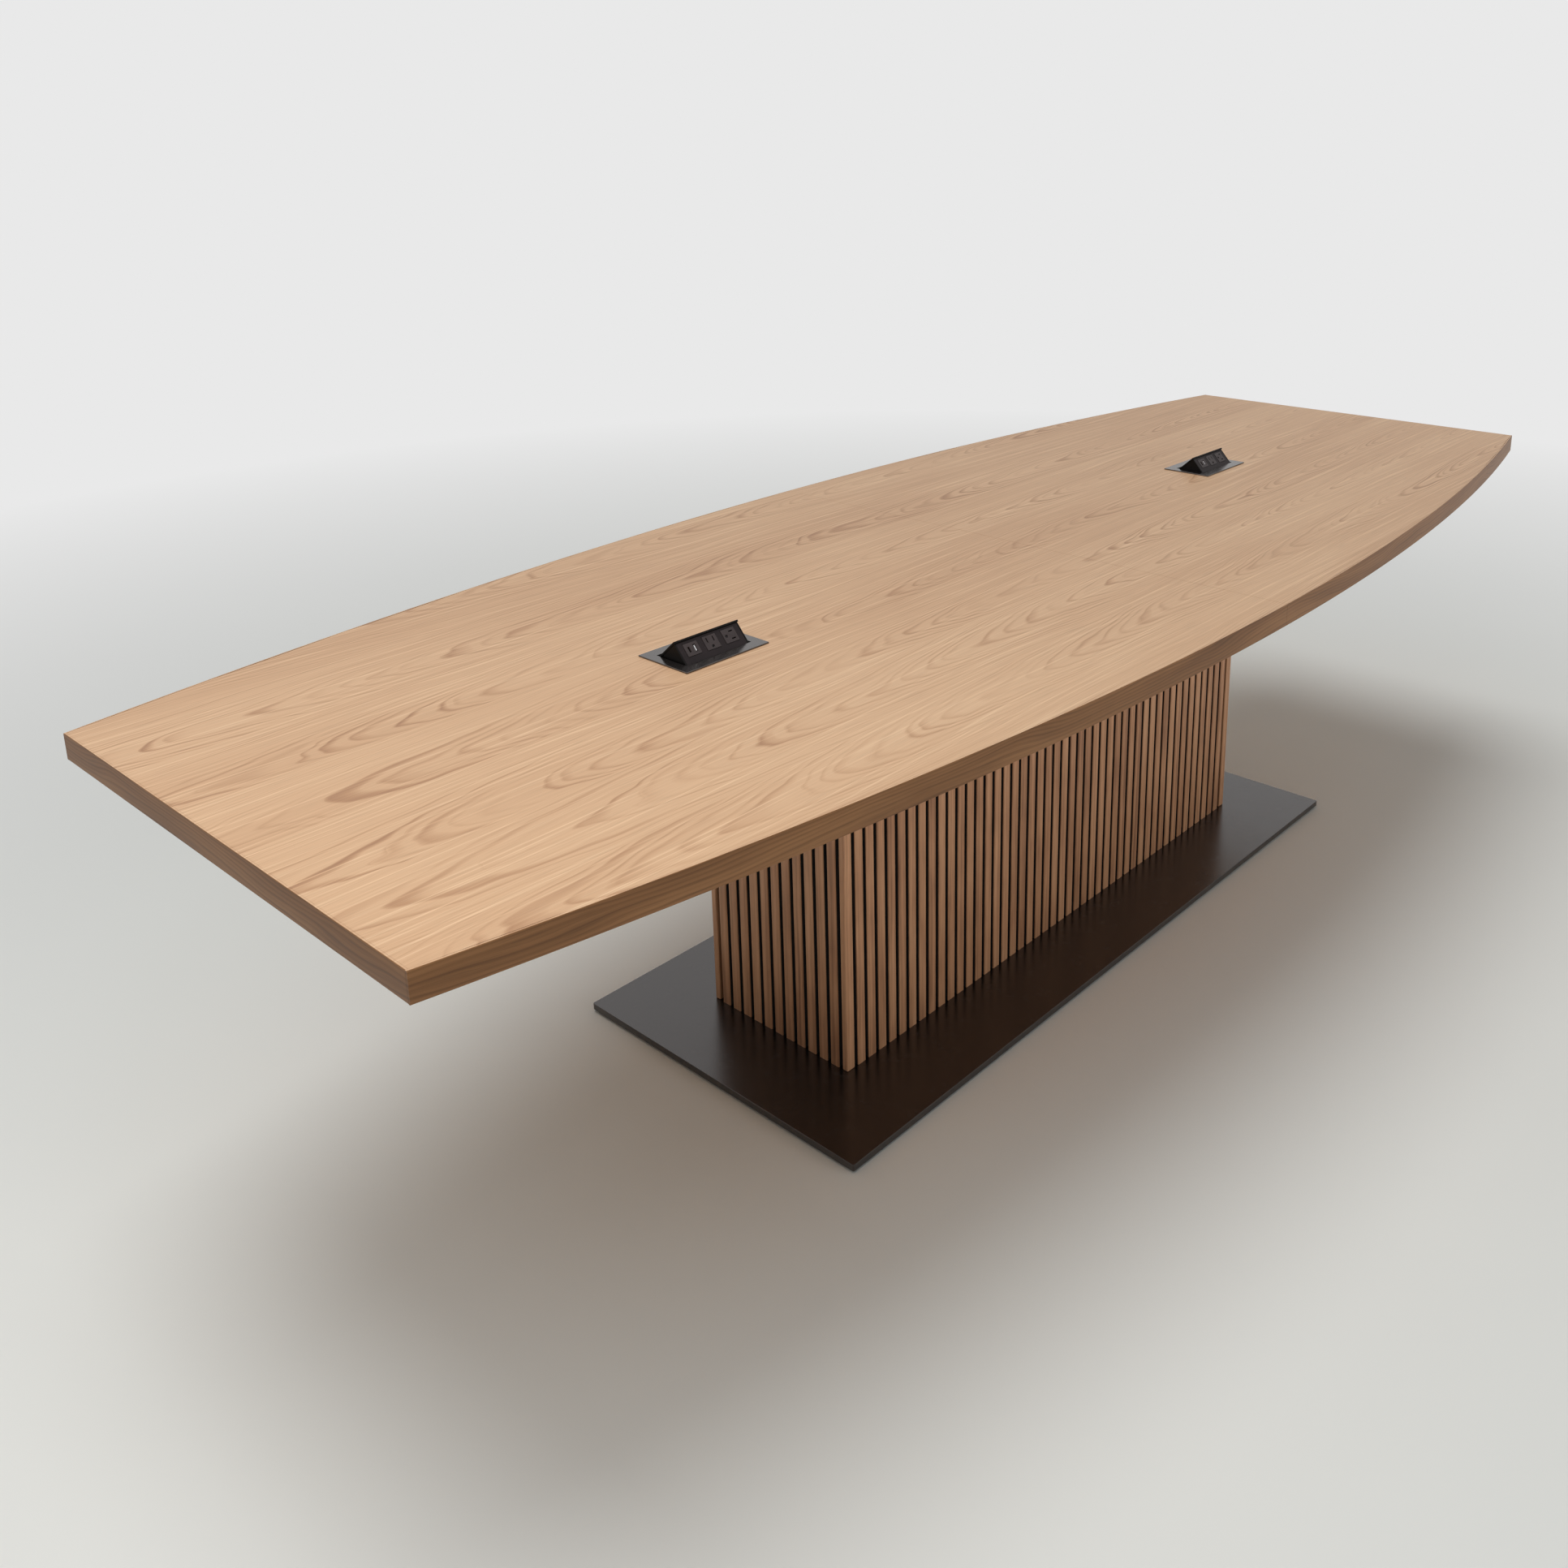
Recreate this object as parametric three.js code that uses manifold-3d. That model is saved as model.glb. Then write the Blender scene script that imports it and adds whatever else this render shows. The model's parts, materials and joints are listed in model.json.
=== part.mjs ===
// Conference table: a veneered top with bowed long edges on a slatted pedestal,
// with two flip-up power units let into the top.
// Millimetres, +Z up, +X along the table; the socket faces look towards -Y.
// The origin is on the floor, under the middle of the top.
import * as THREE from 'three';
import { mergeVertices } from 'three/addons/utils/BufferGeometryUtils.js';
import Module from 'manifold-3d';

const wasm = await Module();
wasm.setup();

// Clearances
const fitClearance = 0.3; // between a piece and the recess it sits in
const glueLine = 0.2; // between glued faces
const seamGap = 0.4; // between the two halves of the top
const swingClearance = 1.5; // round the path of a swinging lid
const cutoutClearance = 1.5; // round a tub in its cut-out

// Top
const tableLength = 3048;
const tableHeight = 762;
const widthMiddle = 1164;
const widthEnd = 852;
const topThickness = 38;
const edgeBand = 3;
const splineWidth = 30;
const splineThickness = 6;
const splineRise = 22; // from the underside to the spline's middle
const splineMargin = 80; // from the edge band to the spline's end
const stiffenerWidth = 40;
const stiffenerDepth = 12;
const stiffenerSpread = 220; // between the two bars' centre lines
const stiffenerEndMargin = 324; // from the table's end to the bar's end

// Pedestal
const slatWidth = 18.5;
const slatGap = 8;
const slatThickness = 12;
const sideSlats = 46; // between the corner posts on a long side
const endSlats = 11; // between the corner posts on an end
const backing = 4;
const carcassWall = 18;
const headBoltRadius = 3;
const headBoltHeadRadius = 7;
const headBoltHeadHeight = 5;
const headBoltBite = 25; // thread in the top
const headBoltSpread = 120; // between the two rows
const headBoltInset = 250; // from the carcass end panel

// Base
const plateMargin = 155.5; // base plate beyond the slats, all round
const plateThickness = 12;
const plateCornerRadius = 3;
const glideHeight = 4;
const glideRadius = 20;
const glideChamfer = 1;
const glideInset = 70; // from the plate's edges to a glide's middle
const baseBoltRadius = 4;
const baseBoltHeadRadius = 8;
const baseBoltBite = 13; // thread in the carcass floor
const baseBoltInset = 60; // from the carcass walls

// Power units
const unitReach = 130; // from the pedestal's end to a unit's middle
const openAngle = 42; // degrees from shut to open, the pose that is modelled
const bezelThickness = 2.5;
const bezelBorderX = 17.5;
const bezelBorderY = 22;
const lidWidth = 130;
const lidReach = 48; // from the hinge axis to the lid's front edge
const lidTail = 2.5; // behind the hinge axis
const lidThickness = 3;
const lidLip = 2.5; // lid beyond the socket face
const lidSideLip = 1; // lid beyond the cheeks
const hingeDrop = 7; // hinge axis below the lid's upper face
const cheekThickness = 2.5;
const hingeEyeRadius = 4.5;
const hingeRodRadius = 1.5;
const faceThickness = 2;
const faceSkirt = 7; // face plate below the bezel when open
const socketPitch = 38;
const socketDrop = 16; // from the lid's underside to the sockets' middle
const socketDepth = 20;
const socketProud = 0.6;
const outletWidth = 26.5;
const outletHeight = 23.5;
const usbWidth = 27;
const usbHeight = 21.5;
const bladeSpacing = 12.7;
const bladeWidth = 2;
const bladeHeight = 8;
const bladeRise = 4.5; // from the outlet's middle to the blades' middle
const groundRadius = 2.5;
const groundDrop = 7; // from the outlet's middle to the ground hole
const contactDepth = 9;
const usbWideWidth = 4.8;
const usbWideHeight = 12.4;
const usbSlimWidth = 3.4;
const usbSlimHeight = 9;
const usbSpacing = 11.5;
const tubWall = 2;
const tubDepth = 70;
const tubSideGap = 2; // between the lid's ends and the tub
const yokeWidth = 30;
const yokeThickness = 2;
const yokeFoot = 22;
const glandBore = 4.5; // radii
const glandBody = 8;
const glandRim = 11;
const glandRimDepth = 3;
const glandRise = 15; // from the tub's floor to the gland's middle
const glandSetback = 15; // behind the unit's middle

// Facets
const edgeSteps = 24;
const roundSteps = 16;
const smallSteps = 12;
const cornerSteps = 6;
const overshoot = 1; // how far a cutting solid runs past the face it cuts
const weldTolerance = 1e-4;

// Worked out from the above
const underside = tableHeight - topThickness;
const plateTop = glideHeight + plateThickness;
const slatPitch = slatWidth + slatGap;
const halfLength = tableLength / 2;
const bow = (widthMiddle - widthEnd) / 2;
const edgeRadius = (halfLength ** 2 + bow ** 2) / (2 * bow);
const pedestalHalfX = ((sideSlats + 2) * slatWidth + (sideSlats + 1) * slatGap) / 2;
const pedestalHalfY = (endSlats * slatPitch + slatGap) / 2 + slatThickness;
const carcassHalfX = pedestalHalfX - slatThickness - backing - glueLine;
const carcassHalfY = pedestalHalfY - slatThickness - backing - glueLine;
const insideHalfX = carcassHalfX - carcassWall;
const insideHalfY = carcassHalfY - carcassWall;
const unitX = pedestalHalfX + unitReach;

// Power unit, in its own frame: the middle of its opening, on the top's surface.
// Points of the swinging pieces are given from the hinge axis, with the lid shut.
const swing = THREE.MathUtils.degToRad(openAngle);
const hingeZ = bezelThickness - hingeDrop;
const lidUnder = hingeDrop - lidThickness;
const faceReach = lidReach - lidLip;
const faceAtBezel = (-hingeZ - faceReach * Math.sin(swing)) / Math.cos(swing);
const faceFoot = faceAtBezel - faceSkirt;
const openY = (y, z) => y * Math.cos(swing) + z * Math.sin(swing);
const frontReach = -openY(-faceReach, faceAtBezel) + swingClearance;
const rearReach = openY(lidTail, hingeDrop) + swingClearance;
const openingHalfY = (frontReach + rearReach) / 2;
const openingHalfX = lidWidth / 2 + tubSideGap / 2;
const hingeY = openingHalfY - rearReach;
const tubInsideX = lidWidth / 2 + tubSideGap;
const tubInsideY = Math.max(openingHalfY, -hingeY - openY(-faceReach, faceFoot) + swingClearance);
const tubHalfX = tubInsideX + tubWall;
const tubHalfY = tubInsideY + tubWall;
const cheekOuter = lidWidth / 2 - lidSideLip;
const cheekInner = cheekOuter - cheekThickness;
const socketZ = lidUnder - socketDrop;

// Finishes, read from the photograph
const finishes = {
  oak: { color: 0xcfae88, roughness: 0.5, metalness: 0 },
  oakEdge: { color: 0x8d6a4c, roughness: 0.5, metalness: 0 },
  slat: { color: 0x82624a, roughness: 0.55, metalness: 0 },
  board: { color: 0x1b1917, roughness: 0.8, metalness: 0 },
  plate: { color: 0x201c19, roughness: 0.35, metalness: 0.2 },
  steel: { color: 0x8c8f92, roughness: 0.4, metalness: 1 },
  black: { color: 0x221f20, roughness: 0.5, metalness: 0 },
  insert: { color: 0x2b282a, roughness: 0.45, metalness: 0 },
  pad: { color: 0x161616, roughness: 0.9, metalness: 0 },
};

// A closed three.js geometry as a solid that can be joined and cut.
function solidOf(geometry) {
  const bare = geometry.clone();
  bare.deleteAttribute('normal');
  bare.deleteAttribute('uv');
  const merged = mergeVertices(bare, weldTolerance);
  const corners = [];
  for (let i = 0; i < merged.index.count; i += 3) {
    const [a, b, c] = [0, 1, 2].map((k) => merged.index.getX(i + k));
    if (a !== b && b !== c && c !== a) corners.push(a, b, c);
  }
  return new wasm.Manifold(
    new wasm.Mesh({
      numProp: 3,
      vertProperties: new Float32Array(merged.attributes.position.array),
      triVerts: new Uint32Array(corners),
    }),
  );
}

function box(x0, x1, y0, y1, z0, z1) {
  const geometry = new THREE.BoxGeometry(x1 - x0, y1 - y0, z1 - z0);
  geometry.translate((x0 + x1) / 2, (y0 + y1) / 2, (z0 + z1) / 2);
  return solidOf(geometry);
}

function outline(points) {
  return new THREE.Shape(points.map(([u, v]) => new THREE.Vector2(u, v)));
}

// An outline in XY, carried up from z0 to z1.
function uprightPrism(shape, z0, z1) {
  const geometry = new THREE.ExtrudeGeometry(shape, {
    depth: z1 - z0,
    bevelEnabled: false,
    curveSegments: cornerSteps,
  });
  geometry.translate(0, 0, z0);
  return solidOf(geometry);
}

// An outline in YZ, carried along X from x0 to x1.
function lengthwisePrism(shape, x0, x1) {
  const geometry = new THREE.ExtrudeGeometry(shape, { depth: x1 - x0, bevelEnabled: false });
  const axes = [new THREE.Vector3(0, 1, 0), new THREE.Vector3(0, 0, 1), new THREE.Vector3(1, 0, 0)];
  geometry.applyMatrix4(new THREE.Matrix4().makeBasis(...axes));
  geometry.translate(x0, 0, 0);
  return solidOf(geometry);
}

// A profile of [radius, height] pairs turned about the Z axis.
function turned(profile, steps) {
  const points = profile.map(([r, z]) => new THREE.Vector2(r, z));
  const geometry = new THREE.LatheGeometry(points, steps);
  geometry.rotateX(Math.PI / 2);
  return solidOf(geometry);
}

function post(radius, z0, z1, steps) {
  return turned([[0, z0], [radius, z0], [radius, z1], [0, z1]], steps);
}

// A round bar along X, from x0 to x1, on the X axis.
function rodAlong(radius, x0, x1, steps) {
  return post(radius, x0, x1, steps).rotate([0, 90, 0]);
}

function ascending(a, b) {
  return a < b ? [a, b] : [b, a];
}

const table = new THREE.Group();

// Adds one piece to a group as a named mesh.
function add(group, name, solid, finish) {
  const { vertProperties, triVerts } = solid.getMesh();
  const geometry = new THREE.BufferGeometry();
  geometry.setAttribute('position', new THREE.BufferAttribute(vertProperties, 3));
  geometry.setIndex(new THREE.BufferAttribute(triVerts, 1));
  geometry.computeVertexNormals();
  const mesh = new THREE.Mesh(geometry, new THREE.MeshStandardMaterial(finishes[finish]));
  mesh.name = name;
  group.add(mesh);
}

const sides = [['left', -1], ['right', 1]];
const faces = [['front', -1], ['rear', 1]];
const corners = sides.flatMap(([end, sx]) => faces.map(([face, sy]) => [`${face}_${end}`, sx, sy]));

// Top

// Half width of the top at x, drawn in by inset.
function edgeAt(x, inset) {
  return widthMiddle / 2 - edgeRadius + Math.sqrt((edgeRadius - inset) ** 2 - x ** 2);
}

// Points along a long edge from x0 to x1.
function edgePoints(x0, x1, inset, sy) {
  return Array.from({ length: edgeSteps + 1 }, (_, i) => {
    const x = x0 + ((x1 - x0) * i) / edgeSteps;
    return [x, sy * edgeAt(x, inset)];
  });
}

function mirrored(points, sx) {
  return points.map(([x, y]) => [sx * x, y]);
}

const panelInset = edgeBand + glueLine;
const panelEnd = halfLength - panelInset;
const stiffenerHalf = halfLength - stiffenerEndMargin;
const splineHalf = widthMiddle / 2 - panelInset - splineMargin;
const splineZ = underside + splineRise;
const headBoltX = insideHalfX - headBoltInset;

// A stiffener bar, or its groove if grown by a clearance.
function stiffener(sy, clearance) {
  const y = (sy * stiffenerSpread) / 2;
  const half = stiffenerWidth / 2 + clearance;
  const reach = stiffenerHalf + clearance;
  const crown = underside + stiffenerDepth + clearance;
  return box(-reach, reach, y - half, y + half, underside - clearance, crown);
}

// The loose spline, or its groove if grown by a clearance.
function spline(clearance) {
  const halfX = splineWidth / 2 + clearance;
  const halfY = splineHalf + clearance;
  const halfZ = splineThickness / 2 + clearance;
  return box(-halfX, halfX, -halfY, halfY, splineZ - halfZ, splineZ + halfZ);
}

function headBoltHole(sx, sy) {
  const low = underside - carcassWall - overshoot;
  const high = underside + headBoltBite + fitClearance;
  const hole = post(headBoltRadius + fitClearance, low, high, smallSteps);
  return hole.translate([sx * headBoltX, (sy * headBoltSpread) / 2, 0]);
}

for (const [end, sx] of sides) {
  const front = edgePoints(seamGap / 2, panelEnd, panelInset, -1);
  const rear = edgePoints(panelEnd, seamGap / 2, panelInset, 1);
  let panel = uprightPrism(outline(mirrored([...front, ...rear], sx)), underside, tableHeight);
  const cutX = tubHalfX + cutoutClearance;
  const cutY = tubHalfY + cutoutClearance;
  const place = sx * unitX;
  const cuts = [
    box(place - cutX, place + cutX, -cutY, cutY, underside - overshoot, tableHeight + overshoot),
    spline(fitClearance),
    ...faces.map(([, sy]) => stiffener(sy, fitClearance)),
    ...corners.map(([, bx, by]) => headBoltHole(bx, by)),
  ];
  for (const cut of cuts) panel = panel.subtract(cut);
  add(table, `top_panel_${end}`, panel, 'oak');

  for (const [face, sy] of faces) {
    const outer = edgePoints(seamGap / 2, halfLength, 0, sy);
    const inner = edgePoints(halfLength, seamGap / 2, edgeBand, sy);
    const band = uprightPrism(outline(mirrored([...outer, ...inner], sx)), underside, tableHeight);
    add(table, `edge_band_${face}_${end}`, band, 'oakEdge');
  }
  const outerX = halfLength;
  const innerX = halfLength - edgeBand;
  const outerY = edgeAt(outerX, panelInset);
  const innerY = edgeAt(innerX, panelInset);
  const strip = [[outerX, -outerY], [outerX, outerY], [innerX, innerY], [innerX, -innerY]];
  const endBand = uprightPrism(outline(mirrored(strip, sx)), underside, tableHeight);
  add(table, `edge_band_end_${end}`, endBand, 'oakEdge');
}

add(table, 'seam_spline', spline(0), 'oak');
for (const [face, sy] of faces) add(table, `stiffener_${face}`, stiffener(sy, 0), 'steel');

// Pedestal

// Backing board and slats of one face, looking towards -Y, with its outer plane at y = -reach.
function slatPanel(count, backingHalf, reach) {
  const back = -reach + slatThickness;
  const first = -(count * slatPitch - slatGap) / 2;
  const points = [[backingHalf, back + backing], [-backingHalf, back + backing], [-backingHalf, back]];
  for (let i = 0; i < count; i += 1) {
    const x = first + i * slatPitch;
    points.push([x, back], [x, -reach], [x + slatWidth, -reach], [x + slatWidth, back]);
  }
  points.push([backingHalf, back]);
  return uprightPrism(outline(points), plateTop, underside);
}

const sidePanel = slatPanel(sideSlats, pedestalHalfX - slatThickness, pedestalHalfY);
const endPanel = slatPanel(endSlats, carcassHalfY, pedestalHalfX);
add(table, 'slat_panel_front', sidePanel, 'slat');
add(table, 'slat_panel_rear', sidePanel.rotate([0, 0, 180]), 'slat');
add(table, 'slat_panel_left', endPanel.rotate([0, 0, -90]), 'slat');
add(table, 'slat_panel_right', endPanel.rotate([0, 0, 90]), 'slat');

for (const [name, sx, sy] of corners) {
  const [x0, x1] = ascending(sx * pedestalHalfX, sx * (pedestalHalfX - slatWidth));
  const [y0, y1] = ascending(sy * pedestalHalfY, sy * (pedestalHalfY - slatThickness));
  add(table, `corner_post_${name}`, box(x0, x1, y0, y1, plateTop, underside), 'slat');
}

for (const [face, sy] of faces) {
  const [y0, y1] = ascending(sy * carcassHalfY, sy * insideHalfY);
  const board = box(-carcassHalfX, carcassHalfX, y0, y1, plateTop, underside);
  add(table, `carcass_side_${face}`, board, 'board');
}
for (const [end, sx] of sides) {
  const [x0, x1] = ascending(sx * carcassHalfX, sx * insideHalfX);
  const board = box(x0, x1, -insideHalfY, insideHalfY, plateTop, underside);
  add(table, `carcass_end_${end}`, board, 'board');
}

const headUnder = underside - carcassWall;
let head = box(-insideHalfX, insideHalfX, -insideHalfY, insideHalfY, headUnder, underside);
for (const [, sx, sy] of corners) head = head.subtract(headBoltHole(sx, sy));
add(table, 'carcass_head', head, 'board');

for (const [name, sx, sy] of corners) {
  const bolt = turned(
    [
      [0, headUnder - headBoltHeadHeight],
      [headBoltHeadRadius, headUnder - headBoltHeadHeight],
      [headBoltHeadRadius, headUnder],
      [headBoltRadius, headUnder],
      [headBoltRadius, underside + headBoltBite],
      [0, underside + headBoltBite],
    ],
    roundSteps,
  );
  const placed = bolt.translate([sx * headBoltX, (sy * headBoltSpread) / 2, 0]);
  add(table, `head_bolt_${name}`, placed, 'steel');
}

// Base

const plateHalfX = pedestalHalfX + plateMargin;
const plateHalfY = pedestalHalfY + plateMargin;

// A countersunk bolt standing in the plate's underside, or its hole if grown by a clearance.
function baseBolt(sx, sy, clearance) {
  const headTop = glideHeight + baseBoltHeadRadius - baseBoltRadius;
  const tip = plateTop + baseBoltBite + clearance;
  const bolt = turned(
    [
      [0, glideHeight - clearance],
      [baseBoltHeadRadius + clearance, glideHeight - clearance],
      [baseBoltHeadRadius + clearance, glideHeight],
      [baseBoltRadius + clearance, headTop],
      [baseBoltRadius + clearance, tip],
      [0, tip],
    ],
    roundSteps,
  );
  return bolt.translate([sx * (insideHalfX - baseBoltInset), sy * (insideHalfY - baseBoltInset), 0]);
}

const plateShape = new THREE.Shape();
const plateTurn = Math.PI / 2;
[[1, 1], [-1, 1], [-1, -1], [1, -1]].forEach(([sx, sy], i) => {
  const x = sx * (plateHalfX - plateCornerRadius);
  const y = sy * (plateHalfY - plateCornerRadius);
  plateShape.absarc(x, y, plateCornerRadius, i * plateTurn, (i + 1) * plateTurn, false);
});
let plate = uprightPrism(plateShape, glideHeight, plateTop);
let floor = box(-insideHalfX, insideHalfX, -insideHalfY, insideHalfY, plateTop, plateTop + carcassWall);
for (const [name, sx, sy] of corners) {
  const hole = baseBolt(sx, sy, fitClearance);
  plate = plate.subtract(hole);
  floor = floor.subtract(hole);
  add(table, `base_bolt_${name}`, baseBolt(sx, sy, 0), 'steel');
  const glide = turned(
    [
      [0, 0],
      [glideRadius - glideChamfer, 0],
      [glideRadius, glideChamfer],
      [glideRadius, glideHeight],
      [0, glideHeight],
    ],
    roundSteps,
  );
  const placed = glide.translate([sx * (plateHalfX - glideInset), sy * (plateHalfY - glideInset), 0]);
  add(table, `glide_${name}`, placed, 'pad');
}
add(table, 'base_plate', plate, 'plate');
add(table, 'carcass_floor', floor, 'board');

// Power units

// Lid, cheeks and hinge eyes in one piece, from the hinge axis, shut.
function lidPiece() {
  let lid = box(-lidWidth / 2, lidWidth / 2, -lidReach, lidTail, lidUnder, hingeDrop);
  const middle = (lidUnder + hingeDrop) / 2;
  const cheek = outline([
    [-faceReach, faceFoot],
    [0, -hingeEyeRadius],
    [lidTail, 0],
    [lidTail, middle],
    [-faceReach, middle],
  ]);
  for (const [, sx] of sides) {
    const [x0, x1] = ascending(sx * cheekOuter, sx * cheekInner);
    lid = lid.add(lengthwisePrism(cheek, x0, x1));
    lid = lid.add(rodAlong(hingeEyeRadius, x0, x1, roundSteps));
  }
  return lid.subtract(rodAlong(hingeRodRadius + fitClearance, -lidWidth, lidWidth, roundSteps));
}

// The three inserts of a socket face: name, place along X, width and height.
const inserts = [
  ['usb_block', -socketPitch, usbWidth, usbHeight],
  ['outlet_upright', 0, outletWidth, outletHeight],
  ['outlet_turned', socketPitch, outletWidth, outletHeight],
];

function facePlate() {
  const half = cheekInner - fitClearance;
  const front = -faceReach;
  const back = front + faceThickness;
  let sheet = box(-half, half, front, back, faceFoot, lidUnder - fitClearance);
  for (const [, x, width, height] of inserts) {
    const w = width / 2 + fitClearance;
    const h = height / 2 + fitClearance;
    const hole = box(x - w, x + w, front - overshoot, back + overshoot, socketZ - h, socketZ + h);
    sheet = sheet.subtract(hole);
  }
  return sheet;
}

const insertFront = -faceReach - socketProud;

function insertBlock(x, width, height) {
  const [w, h] = [width / 2, height / 2];
  return box(x - w, x + w, insertFront, insertFront + socketDepth, socketZ - h, socketZ + h);
}

// A slot let into an insert's front, its middle at (u, v) from the insert's middle.
function slot(x, u, v, width, height) {
  const [w, h] = [width / 2, height / 2];
  const cut = box(-w, w, insertFront - overshoot, insertFront + contactDepth, -h, h);
  return cut.translate([x + u, 0, socketZ + v]);
}

// Two blade slots over a round ground hole; turned lays them on their side, ground hole to the left.
function outlet(x, width, height, isTurned) {
  let block = insertBlock(x, width, height);
  for (const [, side] of sides) {
    const u = (side * bladeSpacing) / 2;
    const upright = slot(x, u, bladeRise, bladeWidth, bladeHeight);
    const lying = slot(x, bladeRise, u, bladeHeight, bladeWidth);
    block = block.subtract(isTurned ? lying : upright);
  }
  const hole = post(groundRadius, -contactDepth, overshoot, smallSteps).rotate([90, 0, 0]);
  const place = isTurned ? [x - groundDrop, insertFront, socketZ] : [x, insertFront, socketZ - groundDrop];
  return block.subtract(hole.translate(place));
}

function usbBlock(x, width, height) {
  const slim = slot(x, -usbSpacing / 2, 0, usbSlimWidth, usbSlimHeight);
  const wide = slot(x, usbSpacing / 2, 0, usbWideWidth, usbWideHeight);
  return insertBlock(x, width, height).subtract(slim).subtract(wide);
}

const makers = {
  usb_block: usbBlock,
  outlet_upright: (x, width, height) => outlet(x, width, height, false),
  outlet_turned: (x, width, height) => outlet(x, width, height, true),
};

function bezel() {
  const halfX = openingHalfX + bezelBorderX;
  const halfY = openingHalfY + bezelBorderY;
  const crown = bezelThickness + overshoot;
  const opening = box(-openingHalfX, openingHalfX, -openingHalfY, openingHalfY, -overshoot, crown);
  return box(-halfX, halfX, -halfY, halfY, 0, bezelThickness).subtract(opening);
}

const glandZ = -tubDepth + tubWall + glandRise;

// Open-topped box under the bezel, with holes for the hinge rod and the cord gland.
function tub(glandSide) {
  let shell = box(-tubHalfX, tubHalfX, -tubHalfY, tubHalfY, -tubDepth, 0);
  const hollow = box(-tubInsideX, tubInsideX, -tubInsideY, tubInsideY, -tubDepth + tubWall, overshoot);
  shell = shell.subtract(hollow);
  const past = tubHalfX + overshoot;
  const rodHole = rodAlong(hingeRodRadius + fitClearance, -past, past, roundSteps);
  const glandHole = rodAlong(glandBody + fitClearance, ...ascending(0, glandSide * past), roundSteps);
  shell = shell.subtract(rodHole.translate([0, hingeY, hingeZ]));
  return shell.subtract(glandHole.translate([0, glandSetback, glandZ]));
}

// A bushing through the tub's end wall, with a rim on each side.
function gland(glandSide) {
  const inside = tubInsideX - fitClearance;
  const outside = tubHalfX + fitClearance;
  const ring = turned(
    [
      [glandBore, inside - glandRimDepth],
      [glandRim, inside - glandRimDepth],
      [glandRim, inside],
      [glandBody, inside],
      [glandBody, outside],
      [glandRim, outside],
      [glandRim, outside + glandRimDepth],
      [glandBore, outside + glandRimDepth],
      [glandBore, inside - glandRimDepth],
    ],
    roundSteps,
  );
  return ring.rotate([0, 90 * glandSide, 0]).translate([0, glandSetback, glandZ]);
}

// A strap under the tub whose feet bear on the underside of the top.
function yoke() {
  const inner = tubHalfY + fitClearance;
  const outer = inner + yokeThickness;
  const foot = outer + yokeFoot;
  const seat = -topThickness;
  const sole = -tubDepth - fitClearance;
  const right = [
    [inner, sole],
    [inner, seat],
    [foot, seat],
    [foot, seat - yokeThickness],
    [outer, seat - yokeThickness],
    [outer, sole - yokeThickness],
  ];
  const left = right.map(([y, z]) => [-y, z]).reverse();
  return lengthwisePrism(outline([...left, ...right]), -yokeWidth / 2, yokeWidth / 2);
}

for (const [end, sx] of sides) {
  const unit = new THREE.Group();
  unit.position.set(sx * unitX, 0, tableHeight);
  table.add(unit);
  add(unit, `power_bezel_${end}`, bezel(), 'black');
  add(unit, `power_tub_${end}`, tub(-sx), 'black');
  add(unit, `cord_gland_${end}`, gland(-sx), 'black');
  add(unit, `clamp_yoke_${end}`, yoke(), 'steel');
  const hingeRod = rodAlong(hingeRodRadius, -tubHalfX, tubHalfX, roundSteps);
  add(unit, `hinge_rod_${end}`, hingeRod.translate([0, hingeY, hingeZ]), 'steel');

  const flip = new THREE.Group();
  flip.position.set(0, hingeY, hingeZ);
  flip.rotation.x = -swing;
  unit.add(flip);
  add(flip, `power_lid_${end}`, lidPiece(), 'black');
  add(flip, `socket_face_${end}`, facePlate(), 'black');
  for (const [name, x, width, height] of inserts) {
    add(flip, `${name}_${end}`, makers[name](x, width, height), 'insert');
  }
}

export default table;
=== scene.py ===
import json
import math

import bmesh
import bpy
from mathutils import Matrix, Vector


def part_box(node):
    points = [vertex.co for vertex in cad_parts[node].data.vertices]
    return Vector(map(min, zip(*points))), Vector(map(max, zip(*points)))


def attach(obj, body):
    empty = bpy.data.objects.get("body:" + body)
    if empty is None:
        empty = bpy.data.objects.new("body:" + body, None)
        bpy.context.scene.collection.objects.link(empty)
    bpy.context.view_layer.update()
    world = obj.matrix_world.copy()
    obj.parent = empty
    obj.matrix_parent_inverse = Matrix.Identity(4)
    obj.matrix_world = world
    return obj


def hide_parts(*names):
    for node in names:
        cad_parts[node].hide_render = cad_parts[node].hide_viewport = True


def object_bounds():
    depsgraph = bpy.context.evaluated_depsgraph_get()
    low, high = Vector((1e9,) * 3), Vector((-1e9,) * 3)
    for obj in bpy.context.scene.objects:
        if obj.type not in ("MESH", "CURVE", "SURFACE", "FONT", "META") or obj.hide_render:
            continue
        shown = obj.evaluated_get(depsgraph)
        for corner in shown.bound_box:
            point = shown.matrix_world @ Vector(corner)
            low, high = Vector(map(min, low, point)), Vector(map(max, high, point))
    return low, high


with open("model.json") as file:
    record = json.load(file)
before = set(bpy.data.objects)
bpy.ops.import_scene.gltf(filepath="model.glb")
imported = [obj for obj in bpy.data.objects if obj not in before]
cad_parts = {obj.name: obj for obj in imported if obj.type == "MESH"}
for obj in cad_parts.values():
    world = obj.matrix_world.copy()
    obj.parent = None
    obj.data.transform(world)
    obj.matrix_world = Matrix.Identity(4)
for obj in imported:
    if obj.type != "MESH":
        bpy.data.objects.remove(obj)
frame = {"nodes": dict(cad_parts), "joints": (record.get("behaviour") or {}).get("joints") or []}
cad_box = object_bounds()

# The conference table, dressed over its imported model. Metres, +Z up, +X along the table.

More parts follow.
